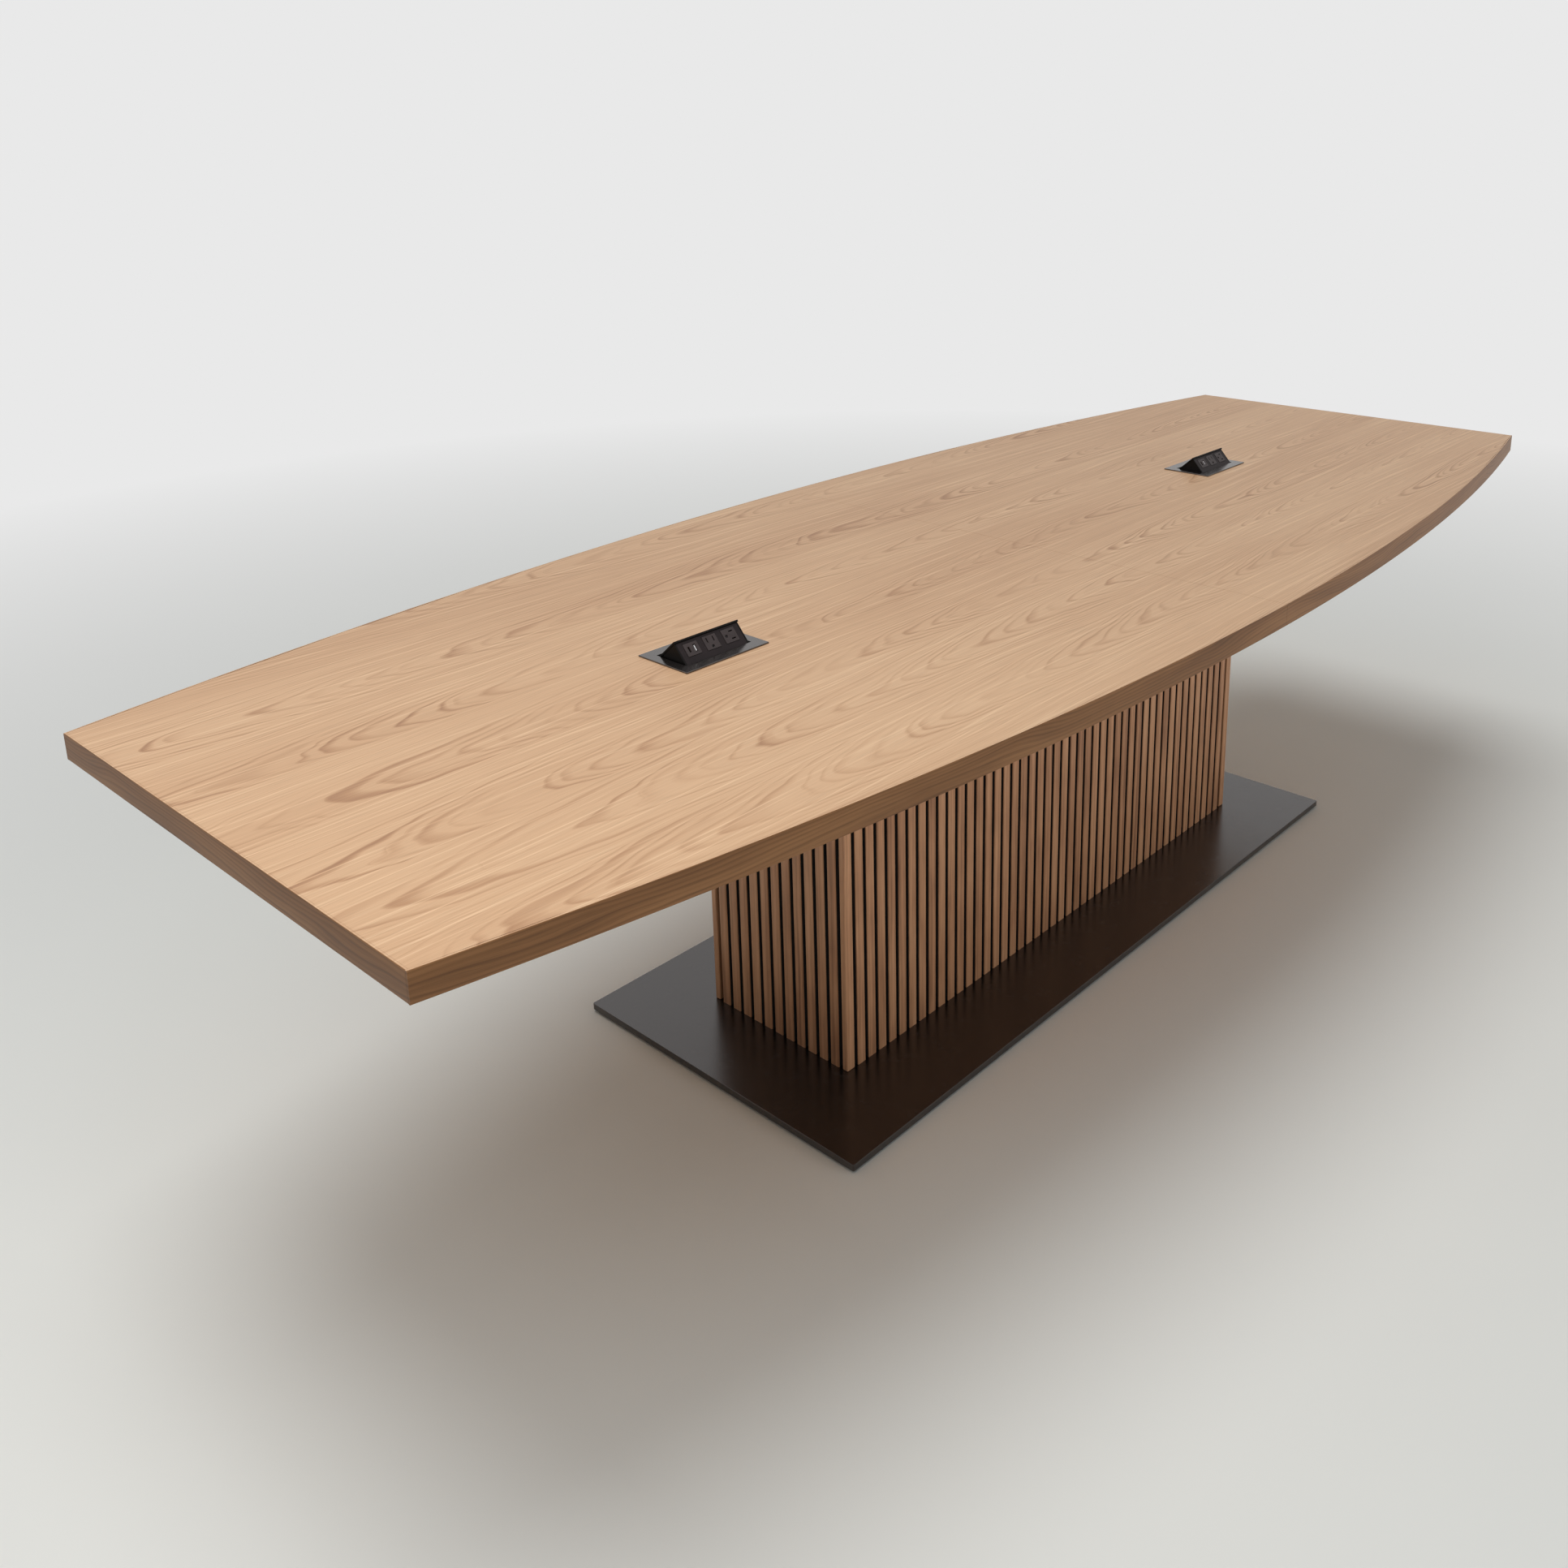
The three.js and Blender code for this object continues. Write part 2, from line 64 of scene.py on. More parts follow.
# Camera, fitted to the photograph
IMAGE_SIZE = 1932  # pixels, square
FOCAL_LENGTH = 1781.3  # pixels
PRINCIPAL_POINT = (1085.0, 630.4)  # pixels
SENSOR_WIDTH = 36.0  # millimetres
CAMERA_PLACE = (-2.13024, -1.58043, 1.55382)
CAMERA_HEADING = 0.84372  # radians from +Y towards +X
CAMERA_DIP = 0.27082  # radians below the horizon
CAMERA_ROLL = -0.01038  # radians

# Light
SUN_STRENGTH = 1.15
SUN_SPREAD = math.radians(36)
SUN_FROM = (0.05, 0.22, 1.0)
LAMPS = {
    "over_near_end": {"power": 22.0, "size": 2.0, "place": (-2.2, -0.5, 2.6), "aim": (-2.2, -0.5, 0.0)},
    "front_fill": {"power": 88.0, "size": 3.0, "place": (1.6, -6.0, 1.2), "aim": (0.2, 0.0, 0.4)},
}
WORLD_FILL = 0.18
WALL_COLOUR = (233, 233, 233)
FLOOR_COLOUR = (240, 242, 238)
FLOOR_HALF = 40.0
FLOOR_NEAR = 1.6  # where the floor starts to turn to the wall's colour
FLOOR_FAR = 5.0
FLOOR_MOTTLE = 0.06  # how much of a darker grey is mixed in, at most
FLOOR_ROUGHNESS = 0.7

# Eased edges
BAND_ROUND = 0.0008
SLAT_ROUND = 0.0016
POST_ROUND = 0.0022
PLATE_ROUND = 0.0022
PANEL_ROUND = 0.0003
POWER_ROUND = 0.0006
INSERT_ROUND = 0.0004
STEEL_ROUND = 0.0005
SHARP_ANGLE = math.radians(28)
FLAT_ANGLE = math.radians(1)
WELD = 1e-6
UPWARD = 0.99  # the rise of a normal that looks straight up

# Shapes that repeat the part's driving sizes
TABLE_HALF = Vector(cad_box[1]).x
BAND_THICKNESS = 0.003
MIDDLE_HALF = Vector(cad_box[1]).y
END_HALF = 0.426
SEAM_HALF = 0.0002
SLAT_WIDTH = 0.0185
SLAT_PITCH = 0.0265
SLAT_THICKNESS = 0.012
SLAT_COUNTS = {"front": 46, "rear": 46, "left": 11, "right": 11}
FACING_THICKNESS = 0.002  # oak on the front of a slat's black core
BAND_STATIONS = 64
ROUND_STEPS = 4

ENDS = {"left": -1, "right": 1}
FACES = {"front": -1, "rear": 1}


def linear(colour):
    """An sRGB colour in 0 to 255 as linear RGBA."""
    parts = [c / 255 for c in colour]
    return tuple(((p + 0.055) / 1.055) ** 2.4 if p > 0.04045 else p / 12.92 for p in parts) + (1.0,)


class Paint:
    """A procedural material and the tools to wire it."""

    def __init__(self, name):
        self.material = bpy.data.materials.new(name)
        self.material.use_nodes = True
        self.tree = self.material.node_tree
        self.surface = self.tree.nodes["Principled BSDF"]

    def feed(self, socket, value):
        """Links a socket to another, or sets it to a plain value."""
        if isinstance(value, bpy.types.NodeSocket):
            self.tree.links.new(value, socket)
        else:
            socket.default_value = value

    def node(self, kind, inputs, **settings):
        made = self.tree.nodes.new("ShaderNode" + kind)
        for key, value in settings.items():
            setattr(made, key, value)
        for key, value in inputs.items():
            self.feed(made.inputs[key], value)
        return made

    def math(self, operation, first, second=0.0, third=0.0):
        inputs = {0: first, 1: second, 2: third}
        return self.node("Math", inputs, operation=operation).outputs[0]

    def place(self):
        """X, Y and Z of a point in the object's own frame, in metres."""
        coordinates = self.node("TexCoord", {}).outputs["Object"]
        return self.node("SeparateXYZ", {0: coordinates}).outputs

    def vector(self, x, y, z=0.0):
        return self.node("CombineXYZ", {0: x, 1: y, 2: z}).outputs[0]

    def stretched(self, along, across, rates, third=0.0):
        """A place for noise with so many features a metre along the grain and across it."""
        u = self.math("MULTIPLY", along, rates[0])
        v = self.math("MULTIPLY", across, rates[1])
        return self.vector(u, v, third)

    def noise(self, vector, scale=1.0, detail=2.0, roughness=0.5):
        inputs = {"Vector": vector, "Scale": scale, "Detail": detail, "Roughness": roughness}
        return self.node("TexNoise", inputs).outputs["Fac"]

    def grain(self, along, across, rates, detail=2.0, roughness=0.5):
        return self.noise(self.stretched(along, across, rates), 1.0, detail, roughness)

    def centred(self, vector, amount, detail=2.0):
        """Noise about zero, from -amount to amount."""
        return self.math("MULTIPLY", self.math("SUBTRACT", self.noise(vector, 1.0, detail), 0.5), 2 * amount)

    def bend(self, along, across, shape, detail=2.0):
        """How far the grain wanders aside. A shape is the bends a metre along and across, and their reach."""
        return self.centred(self.stretched(along, across, shape[:2]), shape[2], detail)

    def lift(self, tone, factor, amount):
        """Adds a factor's distance from its middle to a tone, times an amount."""
        return self.math("MULTIPLY_ADD", self.math("SUBTRACT", factor, 0.5), amount, tone)

    def chance(self, seed):
        """A fixed number from 0 to 1 for each seed."""
        inputs = {"W": seed}
        return self.node("TexWhiteNoise", inputs, noise_dimensions="1D").outputs["Value"]

    def ramp(self, factor, stops):
        made = self.node("ValToRGB", {0: factor})
        elements = made.color_ramp.elements
        while len(elements) < len(stops):
            elements.new(1.0)
        for element, (position, colour) in zip(elements, stops):
            element.position = position
            element.color = colour
        return made.outputs[0]

    def coloured(self, factor, stops):
        """A ramp through sRGB colours."""
        return self.ramp(factor, [(position, linear(colour)) for position, colour in stops])

    def late_wood(self, rings, clear, dark):
        """Lines that darken over each ring: clear over one span of it, and darkest at one place."""
        values = [(0.0, RING_END), (clear[0], 0.0), (clear[1], 0.0), (dark, 1.0), (1.0, RING_END)]
        return self.ramp(self.math("FRACT", rings), [(position, shade(value)) for position, value in values])

    def grey(self, factor, low, high):
        """Maps a factor from the span low to high onto 0 to 1, clamped."""
        inputs = {"Value": factor, "From Min": low, "From Max": high}
        return self.node("MapRange", inputs).outputs[0]

    def mix(self, factor, first, second, blend="MIX"):
        inputs = {0: factor, 6: first, 7: second}
        return self.node("Mix", inputs, data_type="RGBA", blend_type=blend).outputs[2]

    def spread(self, factor, low, high):
        """Maps 0 to 1 onto low to high."""
        inputs = {"Value": factor, "To Min": low, "To Max": high}
        return self.node("MapRange", inputs).outputs[0]

    def bump(self, height, depth, strength=1.0):
        inputs = {"Strength": strength, "Distance": depth, "Height": height}
        self.feed(self.surface.inputs["Normal"], self.node("Bump", inputs).outputs[0])

    def finish_wood(self, colour, fibre, pores, roughness, depth, **constants):
        """Adds fine dark pores, and the fibre's gloss and relief. Pores are where they start and how dark."""
        start, shadow = pores
        closed = self.grey(fibre, start, PORE_END)
        colour = self.mix(closed, self.mix(1.0, colour, shade(shadow), "MULTIPLY"), colour)
        self.bump(fibre, depth, FIBRE_RELIEF)
        return self.finish(colour, self.spread(fibre, *roughness), **constants)

    def finish(self, colour, roughness, **constants):
        self.feed(self.surface.inputs["Base Color"], colour)
        self.feed(self.surface.inputs["Roughness"], roughness)
        for key, value in constants.items():
            self.surface.inputs[key.replace("_", " ")].default_value = value
        return self.material


def shade(value):
    """A grey for multiplying, as linear RGBA."""
    return (value, value, value, 1.0)


# Materials

LEAF_WIDTH = 0.156  # veneer leaves side by side
RING_SPACING = 0.0036  # into the log
RING_SQUEEZE = 1.25  # how much closer the rings lie across a leaf than into it
HEART_DEPTH = 0.095  # from the leaf to the log's heart, in the middle of the table
HEART_SLOPE = 0.055  # how fast the leaf runs out of the log
HEART_SHIFT = 0.09  # how far apart the hearts may lie across their leaves
LEAF_SHIFT = 3.0  # how far leaves are slid past each other, at most
LEAF_LUCK = 0.02  # how much deeper in its log a leaf may lie than another
LEAF_SEED = 31.7  # keeps a leaf's rings apart from the next leaf's
HEART_SEED = 0.5  # keeps the draw of a leaf's heart apart from its other draw
UNEVEN_RATE = 0.45  # how soon the rings' spacing changes
UNEVEN_RINGS = 1.1  # and by how many rings
EDGE_RING_SPACING = 0.0055
RING_END = 0.4  # how dark a ring still is where the next one starts
PORE_END = 0.5  # the fibre's value where a pore ends
FIBRE_RELIEF = 0.5
WOOD_GLOSS = 0.3
STRIP_SHIFT = 7.0  # how far the strips of the pedestal are slid past each other, at most
STRIP_SEED = 9.0  # how far apart the strips lie in their noise, at most

# Bends a metre along the grain and across it, and how far they reach
VENEER_SWAY = (1.2, 4.5, 0.024)
VENEER_RAGGED = (9.0, 70.0, 0.0012)
VENEER_SWELL = (2.6, 8.0, 0.012)
EDGE_SWAY = (2.3, 9.0, 0.03)
EDGE_RAGGED = (14.0, 90.0, 0.0012)
SLAT_SWAY = (3.0, 8.0, 0.006)

# Features a metre along the grain and across it
VENEER_RATES = {"patch": (3.0, 14.0), "streak": (2.2, 190.0), "fibre": (16.0, 1300.0), "cloud": (0.9, 5.0)}
SLAT_RATES = {"figure": (1.6, 150.0), "fibre": (18.0, 1200.0), "cloud": (6.0, 26.0)}
EDGE_RATES = {"fibre": (18.0, 1200.0), "cloud": (3.0, 40.0)}

# Colours from one end of a wood's tones to the other
VENEER_COLOURS = [
    (0.0, (242, 204, 164)),
    (0.4, (221, 179, 140)),
    (0.7, (195, 150, 113)),
    (1.0, (162, 117, 86)),
]
SLAT_COLOURS = [(0.0, (143, 99, 70)), (0.5, (190, 140, 103)), (1.0, (214, 165, 126))]
# The band's oak: a little darker than the veneer as its own tone, and darkened much further as painted shade
# for the band's side faces.
EDGE_COLOURS_WITH_SHADE = [(0.0, (152, 108, 68)), (0.4, (130, 89, 53)), (1.0, (92, 59, 32))]

PAINT_DRIFT = 60  # how much coarser a paint's slow drift is than its grain


def oak_veneer():
    """Plain-sliced oak leaves: rings of a log that leans towards the cut, so they close in long arches."""
    paint = Paint("oak_veneer")
    x, y, _ = paint.place()
    leaf = paint.math("FLOOR", paint.math("ADD", paint.math("DIVIDE", y, LEAF_WIDTH), 0.5))
    luck = paint.chance(leaf)
    shifted = paint.math("MULTIPLY_ADD", luck, LEAF_SHIFT, x)
    aside = paint.math("SUBTRACT", paint.chance(paint.math("ADD", leaf, HEART_SEED)), 0.5)
    beside = paint.math("MULTIPLY_ADD", aside, HEART_SHIFT, y)
    across = paint.math("SUBTRACT", beside, paint.math("MULTIPLY", leaf, LEAF_WIDTH))
    sway = paint.bend(shifted, y, VENEER_SWAY)
    ragged = paint.bend(shifted, y, VENEER_RAGGED, 4.0)
    wide = paint.math("ADD", across, paint.math("ADD", sway, ragged))
    swell = paint.bend(shifted, wide, VENEER_SWELL, 3.0)
    lean = paint.math("MULTIPLY_ADD", x, -HEART_SLOPE, HEART_DEPTH)
    deep = paint.math("ADD", lean, paint.math("MULTIPLY_ADD", luck, LEAF_LUCK, swell))
    squeezed = paint.math("MULTIPLY", wide, RING_SQUEEZE)
    squares = paint.math("ADD", paint.math("POWER", squeezed, 2.0), paint.math("POWER", deep, 2.0))
    even = paint.math("DIVIDE", paint.math("SQRT", squares), RING_SPACING)
    uneven = paint.centred(paint.vector(paint.math("MULTIPLY", even, UNEVEN_RATE), leaf), UNEVEN_RINGS)
    rings = paint.math("ADD", even, uneven)
    strength = paint.chance(paint.math("MULTIPLY_ADD", leaf, LEAF_SEED, paint.math("FLOOR", rings)))
    late = paint.late_wood(rings, (0.08, 0.5), 0.9)
    middle = paint.spread(paint.grey(paint.math("ABSOLUTE", wide), 0.02, 0.07), 0.9, 0.6)
    patch = paint.grey(paint.grain(shifted, y, VENEER_RATES["patch"]), 0.3, 0.65)
    line = paint.math("MULTIPLY", late, paint.spread(strength, 0.15, 1.0))
    line = paint.math("MULTIPLY", line, paint.math("MULTIPLY", middle, paint.spread(patch, 0.35, 1.0)))
    streak = paint.grain(shifted, wide, VENEER_RATES["streak"], 3.0, 0.6)
    # Thin paler streaks along the grain, lightened into the colour: painted highlight of glossy pores.
    painted_glint = paint.grey(streak, 0.55, 0.74)
    fibre = paint.grain(shifted, wide, VENEER_RATES["fibre"])
    cloud = paint.grain(shifted, y, VENEER_RATES["cloud"])
    tone = paint.math("MULTIPLY_ADD", painted_glint, -0.6, paint.math("MULTIPLY", line, 0.88))
    for factor, amount in ((streak, -0.5), (cloud, 0.8), (luck, 0.12)):
        tone = paint.lift(tone, factor, amount)
    colour = paint.coloured(paint.grey(tone, -0.5, 0.9), VENEER_COLOURS)
    roughness = (0.4, 0.52)
    return paint.finish_wood(colour, fibre, (0.32, 0.88), roughness, 0.00005, Specular_IOR_Level=WOOD_GLOSS)


def slat_oak():
    """Straight-grained oak on upright strips, each strip a little different."""
    paint = Paint("slat_oak")
    x, y, z = paint.place()
    level = paint.math("ADD", x, y)
    island = paint.node("NewGeometry", {}).outputs["Random Per Island"]
    slid = paint.math("MULTIPLY_ADD", island, STRIP_SHIFT, z)
    seed = paint.math("MULTIPLY", island, STRIP_SEED)
    sway = paint.centred(paint.stretched(slid, level, SLAT_SWAY[:2], seed), SLAT_SWAY[2])
    bent = paint.math("ADD", level, sway)
    figure = paint.grain(slid, bent, SLAT_RATES["figure"], 3.0, 0.6)
    fibre = paint.grain(slid, bent, SLAT_RATES["fibre"])
    cloud = paint.grain(slid, bent, SLAT_RATES["cloud"], 3.0)
    tone = paint.lift(paint.lift(figure, cloud, 0.75), island, 0.22)
    colour = paint.coloured(paint.grey(tone, 0.2, 0.8), SLAT_COLOURS)
    return paint.finish_wood(colour, fibre, (0.34, 0.8), (0.4, 0.54), 0.00006)


def oak_edge():
    """The band round the top: lines of a sliced leaf that run along it at a slant, in colours darkened partly
    as painted shade.
    """
    paint = Paint("oak_edge")
    x, y, z = paint.place()
    along = paint.math("ADD", x, y)
    sway = paint.bend(along, z, EDGE_SWAY)
    ragged = paint.bend(along, z, EDGE_RAGGED, 4.0)
    rise = paint.math("ADD", z, paint.math("ADD", sway, ragged))
    rings = paint.math("DIVIDE", rise, EDGE_RING_SPACING)
    strength = paint.chance(paint.math("FLOOR", rings))
    late = paint.late_wood(rings, (0.1, 0.4), 0.88)
    fibre = paint.grain(along, rise, EDGE_RATES["fibre"])
    cloud = paint.grain(along, rise, EDGE_RATES["cloud"], 3.0)
    tone = paint.math("MULTIPLY_ADD", late, paint.spread(strength, 0.05, 0.42), cloud)
    colour = paint.coloured(paint.grey(tone, 0.3, 1.1), EDGE_COLOURS_WITH_SHADE)
    roughness = (0.4, 0.52)
    return paint.finish_wood(colour, fibre, (0.34, 0.8), roughness, 0.00005, Specular_IOR_Level=WOOD_GLOSS)


def mottled(name, colours, roughness, grain, depth, **constants):
    """A paint, plastic, board or metal: a fine grain in colour, gloss and relief, over a slow drift."""
    paint = Paint(name)
    place = paint.vector(*paint.place())
    fine = paint.noise(place, grain, 3.0)
    tone = paint.lift(fine, paint.noise(place, grain / PAINT_DRIFT), 0.8)
    colour = paint.coloured(paint.grey(tone, 0.25, 0.75), zip((0.0, 1.0), colours))
    paint.bump(fine, depth)
    return paint.finish(colour, paint.spread(tone, *roughness), **constants)


WARM_GLOSS = (1.0, 0.93, 0.91, 1.0)

MATERIALS = {
    "oak_veneer": oak_veneer(),
    "oak_edge": oak_edge(),
    "slat_oak": slat_oak(),
    "black_board": mottled("black_board", ((20, 18, 17), (30, 28, 26)), (0.7, 0.9), 700.0, 0.0001),
    "base_paint": mottled(
        "base_paint",
        ((14, 14, 15), (18, 18, 19)),
        (0.2, 0.3),
        1800.0,
        0.000002,
        IOR=1.85,
        Specular_Tint=WARM_GLOSS,
    ),
    "steel": mottled("steel", ((150, 152, 154), (178, 180, 182)), (0.3, 0.45), 900.0, 0.00002, Metallic=1.0),
    "power_black": mottled(
        "power_black",
        ((22, 19, 18), (30, 26, 25)),
        (0.14, 0.22),
        3000.0,
        0.000004,
        IOR=2.05,
        Specular_Tint=WARM_GLOSS,
    ),
    # Near-black, darker than the bezel's plastic: the housing's own black, deepened as painted shade for its
    # recessed sides; the tub and gland use it too.
    "power_lid": mottled(
        "power_lid", ((10, 8, 7), (15, 12, 11)), (0.4, 0.55), 3000.0, 0.00003, Specular_IOR_Level=0.15
    ),
    "power_face": mottled(
        "power_face", ((34, 27, 28), (43, 35, 36)), (0.42, 0.56), 3000.0, 0.00003, Specular_IOR_Level=0.2
    ),
    "power_insert": mottled(
        "power_insert", ((58, 50, 50), (71, 62, 62)), (0.34, 0.46), 2600.0, 0.00002, Specular_IOR_Level=0.3
    ),
    "glide_pad": mottled("glide_pad", ((20, 20, 20), (30, 30, 30)), (0.8, 0.95), 1200.0, 0.00008),
    "usb_white": mottled("usb_white", ((214, 214, 216), (232, 232, 234)), (0.35, 0.5), 2600.0, 0.00002),
}


# Making pieces


def settle(name, mesh, body, slot, nodes=(), paint=None):
    """A finished mesh as a piece: painted, riding a body, and standing for CAD nodes."""
    for polygon in mesh.polygons:
        polygon.use_smooth = True
    mesh.set_sharp_from_angle(angle=SHARP_ANGLE)
    mesh.materials.clear()
    mesh.materials.append(MATERIALS[paint or slot])
    piece = bpy.data.objects.new(name, mesh)
    bpy.context.scene.collection.objects.link(piece)
    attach(piece, body)
    if nodes:
        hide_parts(*nodes)
    return piece


def ease(piece, width, segments=3):
    bevel = piece.modifiers.new("eased edges", "BEVEL")
    bevel.width = width
    bevel.segments = segments
    bevel.limit_method = "ANGLE"
    bevel.angle_limit = SHARP_ANGLE
    bevel.harden_normals = True


def plain_copy(node):
    """The node's mesh with its facets joined into whole faces."""
    mesh = frame["nodes"][node].data.copy()
    work = bmesh.new()
    work.from_mesh(mesh)
    bmesh.ops.remove_doubles(work, verts=work.verts, dist=WELD)
    bmesh.ops.dissolve_limit(work, angle_limit=FLAT_ANGLE, verts=work.verts, edges=work.edges)
    work.to_mesh(mesh)
    work.free()
    return mesh


def eased(node, width, slot, body="table", segments=3, paint=None):
    """A node's own shape with its edges rounded."""
    piece = settle(node + "_eased", plain_copy(node), body, slot, [node], paint)
    ease(piece, width, segments)
    return piece


def mesh_of(name, work):
    mesh = bpy.data.meshes.new(name)
    bmesh.ops.recalc_face_normals(work, faces=work.faces)
    work.to_mesh(mesh)
    work.free()
    return mesh


def skin(work, rings, is_loop=False):
    """Joins rings of points into a closed skin, with a cap on each end unless they go round in a loop."""
    rows = [[work.verts.new(point) for point in ring] for ring in rings]
    nexts = rows[1:] + rows[:1] if is_loop else rows[1:]
    for first, second in zip(rows, nexts):
        for i in range(len(first)):
            j = (i + 1) % len(first)
            work.faces.new((first[i], first[j], second[j], second[i]))
    if not is_loop:
        work.faces.new(reversed(rows[0]))
        work.faces.new(rows[-1])


def rounded_profile(low, high, depth, radius):
    """Points of a strip's section as (depth, height): square behind, rounded at the outer face, depth 0."""
    points = [(depth, high), (depth, low)]
    for centre, start in ((low + radius, -90), (high - radius, 0)):
        for step in range(ROUND_STEPS + 1):
            turn = math.radians(start + 90 * step / ROUND_STEPS)
            points.append((radius - radius * math.cos(turn), centre + radius * math.sin(turn)))
    return points


# Top

UNDERSIDE, TABLE_TOP = (Vector(corner).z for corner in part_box("edge_band_end_left"))
BOW = MIDDLE_HALF - END_HALF
EDGE_RADIUS = (TABLE_HALF**2 + BOW**2) / (2 * BOW)


def edge_at(x, inset):
    """Half width of the top at x, drawn in by inset."""
    return MIDDLE_HALF - EDGE_RADIUS + math.sqrt((EDGE_RADIUS - inset) ** 2 - x**2)


def veneer_upper(mesh):
    """Carries the top's veneer over a band's upper face."""
    mesh.materials.append(MATERIALS["oak_veneer"])
    for polygon in mesh.polygons:
        if polygon.normal.z > UPWARD:
            polygon.material_index = 1


def long_band(face, end):
    name = f"edge_band_{face}_{end}"
    section = rounded_profile(UNDERSIDE, TABLE_TOP, BAND_THICKNESS, BAND_ROUND)
    rings = []
    for step in range(BAND_STATIONS + 1):
        x = SEAM_HALF + (TABLE_HALF - SEAM_HALF) * step / BAND_STATIONS
        rings.append([(ENDS[end] * x, FACES[face] * edge_at(x, inset), z) for inset, z in section])
    work = bmesh.new()
    skin(work, rings)
    band = settle(name + "_rounded", mesh_of(name, work), "table", "oak_edge", [name])
    veneer_upper(band.data)


def end_band(end):
    name = f"edge_band_end_{end}"
    half = Vector(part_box(name)[1]).y
    section = rounded_profile(UNDERSIDE, TABLE_TOP, BAND_THICKNESS, BAND_ROUND)
    rings = [[(ENDS[end] * (TABLE_HALF - inset), y, z) for inset, z in section] for y in (-half, half)]
    work = bmesh.new()
    skin(work, rings)
    band = settle(name + "_rounded", mesh_of(name, work), "table", "oak_edge", [name])
    veneer_upper(band.data)


for end in ENDS:
    eased(f"top_panel_{end}", PANEL_ROUND, "oak_veneer", segments=2)
    end_band(end)
    for face in FACES:
        long_band(face, end)


# Pedestal


def slat_face(face, degrees):
    """Oak facings on the black cores of a board, made facing -Y and turned into place."""
    name = f"slat_panel_{face}"
    count = SLAT_COUNTS[face]
    turn = Matrix.Rotation(math.radians(degrees), 3, "Z")
    low, high = (turn.inverted() @ Vector(corner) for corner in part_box(name))
    near = min(low.y, high.y)
    back = max(low.y, high.y)
    half = max(low.x, high.x)
    levels = (low.z, high.z)
    first = (SLAT_PITCH - SLAT_WIDTH - count * SLAT_PITCH) / 2
    front = near + SLAT_THICKNESS
    facing = near + FACING_THICKNESS
    section = rounded_profile(0.0, SLAT_WIDTH, FACING_THICKNESS, SLAT_ROUND)
    comb = [(half, back), (-half, back), (-half, front)]
    slats = bmesh.new()
    for i in range(count):
        x = first + i * SLAT_PITCH
        skin(slats, [[turn @ Vector((x + u, near + depth, z)) for depth, u in section] for z in levels])
        comb += [(x, front), (x, facing), (x + SLAT_WIDTH, facing), (x + SLAT_WIDTH, front)]
    comb.append((half, front))
    board = bmesh.new()
    skin(board, [[turn @ Vector((x, y, z)) for x, y in comb] for z in levels])
    settle(name + "_facings", mesh_of(name + "_facings", slats), "table", "slat_oak", [name])
    settle(name + "_board", mesh_of(name + "_board", board), "table", "black_board", [name])


for face, degrees in (("front", 0), ("right", 90), ("rear", 180), ("left", 270)):
    slat_face(face, degrees)
for end in ENDS:
    for face in FACES:
        eased(f"corner_post_{face}_{end}", POST_ROUND, "slat_oak")


# Base

eased("base_plate", PLATE_ROUND, "base_paint", segments=4)
for end in ENDS:
    for face in FACES:
        eased(f"glide_{face}_{end}", STEEL_ROUND, "glide_pad", segments=2)
        eased(f"base_bolt_{face}_{end}", STEEL_ROUND, "steel", segments=2)
        eased(f"head_bolt_{face}_{end}", STEEL_ROUND, "steel", segments=2)
for face in FACES:
    eased(f"stiffener_{face}", STEEL_ROUND, "steel", segments=2)


# Power units

FLIP_TILT = math.radians(-42)  # how far a flip leans back at rest from where it is shut
SLEEVE_SIDES = 24

# In the frame of a shut flip, from its hinge
TONGUE_LOW = (-0.0328, -0.0452, -0.0168)  # the tongue in the wide port
TONGUE_HIGH = (-0.0307, -0.0369, -0.0072)
SLEEVE_PLACES = {"outlet_upright": (0.0, -0.019), "outlet_turned": (0.031, -0.012)}
SLEEVE_SPAN = (-0.0436, -0.0369)
SLEEVE_RADII = (0.0024, 0.0017)


def flip_place(end):
    """Carries a point from the frame of a shut flip to where the flip stands at rest."""
    hinge = next(joint for joint in frame["joints"] if joint["name"] == f"power_hinge_{end}")
    return Matrix.Translation(hinge["pos_m"]) @ Matrix.Rotation(FLIP_TILT, 4, "X")


def port_tongue(end):
    """The white tongue that stands in the wide port."""
    low, high = Vector(TONGUE_LOW), Vector(TONGUE_HIGH)
    place = flip_place(end) @ Matrix.Translation((low + high) / 2) @ Matrix.Diagonal((*(high - low), 1.0))
    work = bmesh.new()
    bmesh.ops.create_cube(work, size=1.0, matrix=place)
    name = f"port_tongue_{end}"
    node = f"usb_block_{end}"
    tongue = settle(name, mesh_of(name, work), f"power_flip_{end}", "power_insert", [node], "usb_white")
    ease(tongue, INSERT_ROUND, 2)


def ground_sleeve(insert, end):
    """The bright sleeve inside an outlet's round hole."""
    x, z = SLEEVE_PLACES[insert]
    near, far = SLEEVE_SPAN
    outer, inner = SLEEVE_RADII
    place = flip_place(end)
    turns = [2 * math.pi * side / SLEEVE_SIDES for side in range(SLEEVE_SIDES)]
    rings = []
    for radius, y in ((outer, near), (outer, far), (inner, far), (inner, near)):
        rings.append([place @ Vector((x + radius * math.cos(t), y, z + radius * math.sin(t))) for t in turns])
    work = bmesh.new()
    skin(work, rings, is_loop=True)
    name = f"{insert}_sleeve_{end}"
    settle(name, mesh_of(name, work), f"power_flip_{end}", "steel", [f"{insert}_{end}"])


